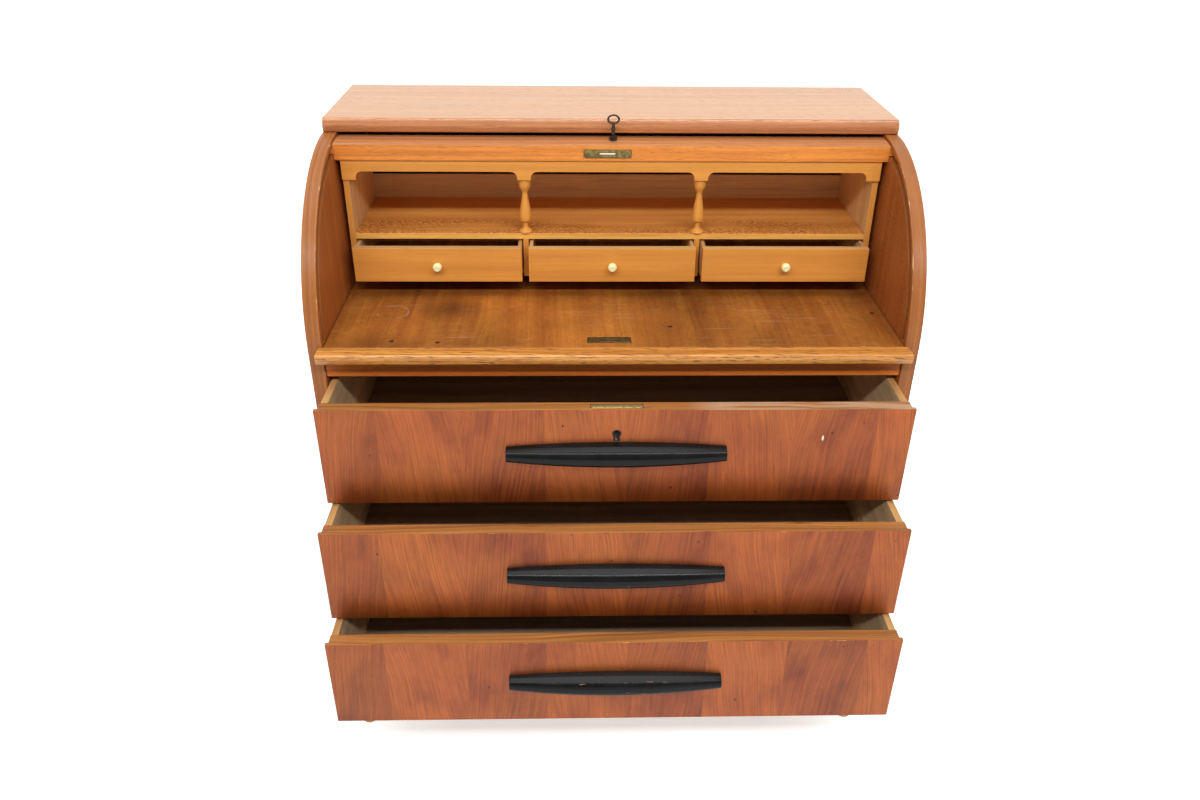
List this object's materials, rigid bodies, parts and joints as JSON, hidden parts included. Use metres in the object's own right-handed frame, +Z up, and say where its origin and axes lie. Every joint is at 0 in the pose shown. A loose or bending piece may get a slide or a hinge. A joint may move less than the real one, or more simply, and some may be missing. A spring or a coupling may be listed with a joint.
{
  "type": "roll-top writing desk",
  "caption": "Roll-top writing desk on splayed legs, with lipped drawers, a pull-out writing board, a pigeonhole gallery with small drawers, and a tambour that rolls in curved grooves.",
  "frame": {"origin": "on the floor, under the middle of the desk's box with its drawers as pictured", "axes": "+Z up, +X to the right of someone who sits at the desk, +Y away from them towards the back panel"},
  "size_m": [0.909, 0.7092, 1.0545],
  "materials": {
    "teak": "oiled reddish teak veneer, satin",
    "flame_veneer": "book-matched flame veneer, satin lacquer",
    "beech": "golden beech, satin lacquer",
    "oak": "worn golden oak veneer, satin lacquer",
    "drawer_pine": "bare pale wood",
    "leg_birch": "turned birch, satin lacquer",
    "black_lacquer": "black lacquer, worn on the arris",
    "brass": "aged brass",
    "steel": "worn bright steel",
    "iron": "dark iron",
    "cream": "cream plastic"
  },
  "bodies": {
    "carcase": {"left_side": "teak", "right_side": "teak", "top_board": "teak", "back_panel": "teak", "bottom_board": "drawer_pine", "dust_panel_lower": "drawer_pine", "dust_panel_upper": "drawer_pine", "upper_rail": "teak", "board_bearer": "drawer_pine", "leg_front_left": "leg_birch", "leg_front_right": "leg_birch", "leg_rear_left": "leg_birch", "leg_rear_right": "leg_birch", "gallery_left_side": "beech", "gallery_right_side": "beech", "gallery_shelf": "beech", "gallery_floor": "beech", "gallery_back": "beech", "gallery_roof": "beech", "gallery_valance": "beech", "gallery_divider_left": "beech", "gallery_divider_right": "beech", "column_left": "beech", "column_right": "beech"},
    "writing_slide": {"writing_board": "oak", "board_nosing": "oak", "strike_plate": "brass"},
    "roll_top": {"lead_rail": "teak", "tambour_curtain": "teak", "tambour_lock": "brass"},
    "key": {"lock_key": "iron"},
    "bolt": {"lock_bolt": "steel"},
    "bottom_drawer": {"bottom_drawer_front": "flame_veneer", "bottom_drawer_left_side": "drawer_pine", "bottom_drawer_right_side": "drawer_pine", "bottom_drawer_back": "drawer_pine", "bottom_drawer_bottom": "drawer_pine", "bottom_drawer_handle": "black_lacquer"},
    "middle_drawer": {"middle_drawer_front": "flame_veneer", "middle_drawer_left_side": "drawer_pine", "middle_drawer_right_side": "drawer_pine", "middle_drawer_back": "drawer_pine", "middle_drawer_bottom": "drawer_pine", "middle_drawer_handle": "black_lacquer"},
    "top_drawer": {"top_drawer_front": "flame_veneer", "top_drawer_left_side": "drawer_pine", "top_drawer_right_side": "drawer_pine", "top_drawer_back": "drawer_pine", "top_drawer_bottom": "drawer_pine", "top_drawer_handle": "black_lacquer", "top_drawer_lock": "iron"},
    "left_small_drawer": {"left_small_drawer_front": "beech", "left_small_drawer_tray": "drawer_pine", "left_small_drawer_knob": "cream"},
    "middle_small_drawer": {"middle_small_drawer_front": "beech", "middle_small_drawer_tray": "drawer_pine", "middle_small_drawer_knob": "cream"},
    "right_small_drawer": {"right_small_drawer_front": "beech", "right_small_drawer_tray": "drawer_pine", "right_small_drawer_knob": "cream"}
  },
  "joints": [
    {"name": "roll_top_roll", "type": "hinge", "parent": "carcase", "child": "roll_top", "pos_m": [0, 0.11715, 0.7776], "axis": [1, 0, 0], "range_deg": [0, 82.77]},
    {"name": "key_turn", "type": "hinge", "parent": "roll_top", "child": "key", "pos_m": [0, 0.10589, 1.01256], "axis": [0, -0.1495, 0.9888], "range_deg": [0, 90]},
    {"name": "bolt_throw", "type": "slide", "parent": "roll_top", "child": "bolt", "axis": [0, -0.9888, -0.1495], "range_m": [0, 0.006]},
    {"name": "writing_board_slide", "type": "slide", "parent": "carcase", "child": "writing_slide", "axis": [0, 1, 0], "range_m": [-0.2, 0]},
    {"name": "bottom_drawer_slide", "type": "slide", "parent": "carcase", "child": "bottom_drawer", "axis": [0, -1, 0], "range_m": [-0.199, 0.131]},
    {"name": "middle_drawer_slide", "type": "slide", "parent": "carcase", "child": "middle_drawer", "axis": [0, -1, 0], "range_m": [-0.1466, 0.1834]},
    {"name": "top_drawer_slide", "type": "slide", "parent": "carcase", "child": "top_drawer", "axis": [0, -1, 0], "range_m": [-0.0767, 0.2533]},
    {"name": "left_small_drawer_slide", "type": "slide", "parent": "carcase", "child": "left_small_drawer", "axis": [0, -1, 0], "range_m": [-0.04, 0.09]},
    {"name": "middle_small_drawer_slide", "type": "slide", "parent": "carcase", "child": "middle_small_drawer", "axis": [0, -1, 0], "range_m": [-0.04, 0.09]},
    {"name": "right_small_drawer_slide", "type": "slide", "parent": "carcase", "child": "right_small_drawer", "axis": [0, -1, 0], "range_m": [-0.04, 0.09]}
  ],
  "couplings": [
    {"joint": "key_turn", "follows": "bolt_throw", "rad_per_m": 261.79}
  ]
}
